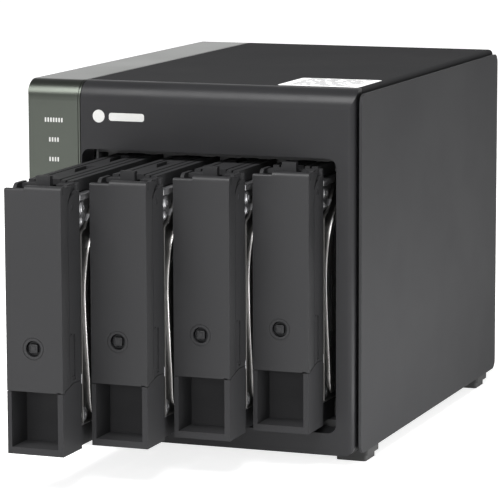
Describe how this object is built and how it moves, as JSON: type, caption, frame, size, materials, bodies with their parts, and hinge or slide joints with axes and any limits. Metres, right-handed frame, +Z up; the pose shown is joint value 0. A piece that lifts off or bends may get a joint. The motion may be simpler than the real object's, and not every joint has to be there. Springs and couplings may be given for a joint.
{
  "type": "network attached storage unit",
  "caption": "Desktop network storage case with pull-out drive trays behind hinged lever fronts, a rear fan and a rear column of network and USB ports.",
  "frame": {"origin": "on the floor under the middle of the unit's bounding box, with its trays pulled out as at rest", "axes": "+Z up, +Y to the rear, +X to the right of someone facing the trays; the trays slide out along -Y"},
  "size_m": [0.16, 0.316, 0.1691],
  "materials": {
    "bezel_plastic": "satin moulded plastic",
    "strip_paint": "fine metallic green-grey paint, satin",
    "cover_paint": "fine textured black paint",
    "label_film": "plain white adhesive film",
    "panel_paint": "fine textured charcoal powder coat",
    "foot_rubber": "moulded black rubber",
    "zinc_steel": "zinc-plated sheet and screws",
    "guide_plastic": "black moulded plastic",
    "circuit_board": "green solder mask",
    "connector_plastic": "black connector plastic",
    "brass": "turned brass",
    "sink_aluminium": "extruded aluminium",
    "port_nickel": "nickel-plated sheet",
    "clear_plastic": "clear moulded plastic",
    "fan_plastic": "black fan plastic",
    "button_plastic": "satin grey plastic",
    "tray_plastic": "charcoal moulded plastic, fine texture",
    "lever_plastic": "charcoal moulded plastic, fine texture",
    "lock_plastic": "dark moulded plastic",
    "drive_casting": "die-cast aluminium",
    "drive_lid": "bright stamped lid"
  },
  "bodies": {
    "chassis": {"front_bezel": "bezel_plastic", "accent_strip": "strip_paint", "top_cover": "cover_paint", "top_label": "label_film", "right_side_panel": "panel_paint", "left_side_panel": "panel_paint", "rear_panel": "cover_paint", "bottom_plate": "panel_paint", "feet": "foot_rubber", "cage_left_wall": "zinc_steel", "cage_right_wall": "zinc_steel", "upper_guide": "guide_plastic", "lower_guide": "guide_plastic", "backplane_board": "circuit_board", "sata_connectors": "connector_plastic", "main_board": "circuit_board", "board_standoffs": "brass", "heat_sink": "sink_aluminium", "memory_module": "circuit_board", "clock_battery": "port_nickel", "front_io_board": "circuit_board", "status_light_pipes": "clear_plastic", "front_usb_port": "port_nickel", "rear_usb_ports": "port_nickel", "ethernet_ports": "port_nickel", "sfp_cage": "port_nickel", "power_jack": "connector_plastic", "fan_frame": "fan_plastic", "rear_screws": "zinc_steel"},
    "fan": {"fan_rotor": "fan_plastic"},
    "power_button": {"power_button": "button_plastic"},
    "copy_button": {"copy_button": "button_plastic"},
    "reset_button": {"reset_button": "button_plastic"},
    "tray_1": {"tray_frame_1": "tray_plastic", "lever_pin_1": "zinc_steel", "drive_1": "drive_casting", "drive_cover_1": "drive_lid"},
    "lever_1": {"tray_lever_1": "lever_plastic"},
    "lock_1": {"tray_lock_1": "lock_plastic"},
    "tray_2": {"tray_frame_2": "tray_plastic", "lever_pin_2": "zinc_steel", "drive_2": "drive_casting", "drive_cover_2": "drive_lid"},
    "lever_2": {"tray_lever_2": "lever_plastic"},
    "lock_2": {"tray_lock_2": "lock_plastic"},
    "tray_3": {"tray_frame_3": "tray_plastic", "lever_pin_3": "zinc_steel", "drive_3": "drive_casting", "drive_cover_3": "drive_lid"},
    "lever_3": {"tray_lever_3": "lever_plastic"},
    "lock_3": {"tray_lock_3": "lock_plastic"},
    "tray_4": {"tray_frame_4": "tray_plastic", "lever_pin_4": "zinc_steel", "drive_4": "drive_casting", "drive_cover_4": "drive_lid"},
    "lever_4": {"tray_lever_4": "lever_plastic"},
    "lock_4": {"tray_lock_4": "lock_plastic"}
  },
  "joints": [
    {"name": "tray_slide_1", "type": "slide", "parent": "chassis", "child": "tray_1", "axis": [0, -1, 0], "range_m": [-0.0985, 0.0415]},
    {"name": "tray_slide_2", "type": "slide", "parent": "chassis", "child": "tray_2", "axis": [0, -1, 0], "range_m": [-0.0715, 0.0685]},
    {"name": "tray_slide_3", "type": "slide", "parent": "chassis", "child": "tray_3", "axis": [0, -1, 0], "range_m": [-0.0445, 0.0955]},
    {"name": "tray_slide_4", "type": "slide", "parent": "chassis", "child": "tray_4", "axis": [0, -1, 0], "range_m": [-0.0195, 0.1205]},
    {"name": "lever_hinge_1", "type": "hinge", "parent": "tray_1", "child": "lever_1", "pos_m": [-0.0335, -0.146, 0.1242], "axis": [-1, 0, 0], "range_deg": [0, 35]},
    {"name": "lever_hinge_2", "type": "hinge", "parent": "tray_2", "child": "lever_2", "pos_m": [-0.0059, -0.119, 0.1242], "axis": [-1, 0, 0], "range_deg": [0, 35]},
    {"name": "lever_hinge_3", "type": "hinge", "parent": "tray_3", "child": "lever_3", "pos_m": [0.0217, -0.092, 0.1242], "axis": [-1, 0, 0], "range_deg": [0, 35]},
    {"name": "lever_hinge_4", "type": "hinge", "parent": "tray_4", "child": "lever_4", "pos_m": [0.0493, -0.067, 0.1242], "axis": [-1, 0, 0], "range_deg": [0, 35]},
    {"name": "lock_turn_1", "type": "hinge", "parent": "lever_1", "child": "lock_1", "pos_m": [-0.03395, -0.155, 0.0643], "axis": [0, 1, 0], "range_deg": [0, 90]},
    {"name": "lock_turn_2", "type": "hinge", "parent": "lever_2", "child": "lock_2", "pos_m": [-0.00635, -0.128, 0.0643], "axis": [0, 1, 0], "range_deg": [0, 90]},
    {"name": "lock_turn_3", "type": "hinge", "parent": "lever_3", "child": "lock_3", "pos_m": [0.02125, -0.101, 0.0643], "axis": [0, 1, 0], "range_deg": [0, 90]},
    {"name": "lock_turn_4", "type": "hinge", "parent": "lever_4", "child": "lock_4", "pos_m": [0.04885, -0.076, 0.0643], "axis": [0, 1, 0], "range_deg": [0, 90]},
    {"name": "fan_spin", "type": "hinge", "parent": "chassis", "child": "fan", "pos_m": [0.012, 0.143, 0.09], "axis": [0, 1, 0], "continuous": true},
    {"name": "power_button_press", "type": "slide", "parent": "chassis", "child": "power_button", "axis": [0, 1, 0], "range_m": [0, 0.0012], "stiffness_N_per_m": 500, "springref_m": -0.002},
    {"name": "copy_button_press", "type": "slide", "parent": "chassis", "child": "copy_button", "axis": [0, 1, 0], "range_m": [0, 0.0012], "stiffness_N_per_m": 400, "springref_m": -0.002},
    {"name": "reset_button_press", "type": "slide", "parent": "chassis", "child": "reset_button", "axis": [0, -1, 0], "range_m": [0, 0.0008], "stiffness_N_per_m": 300, "springref_m": -0.002}
  ]
}
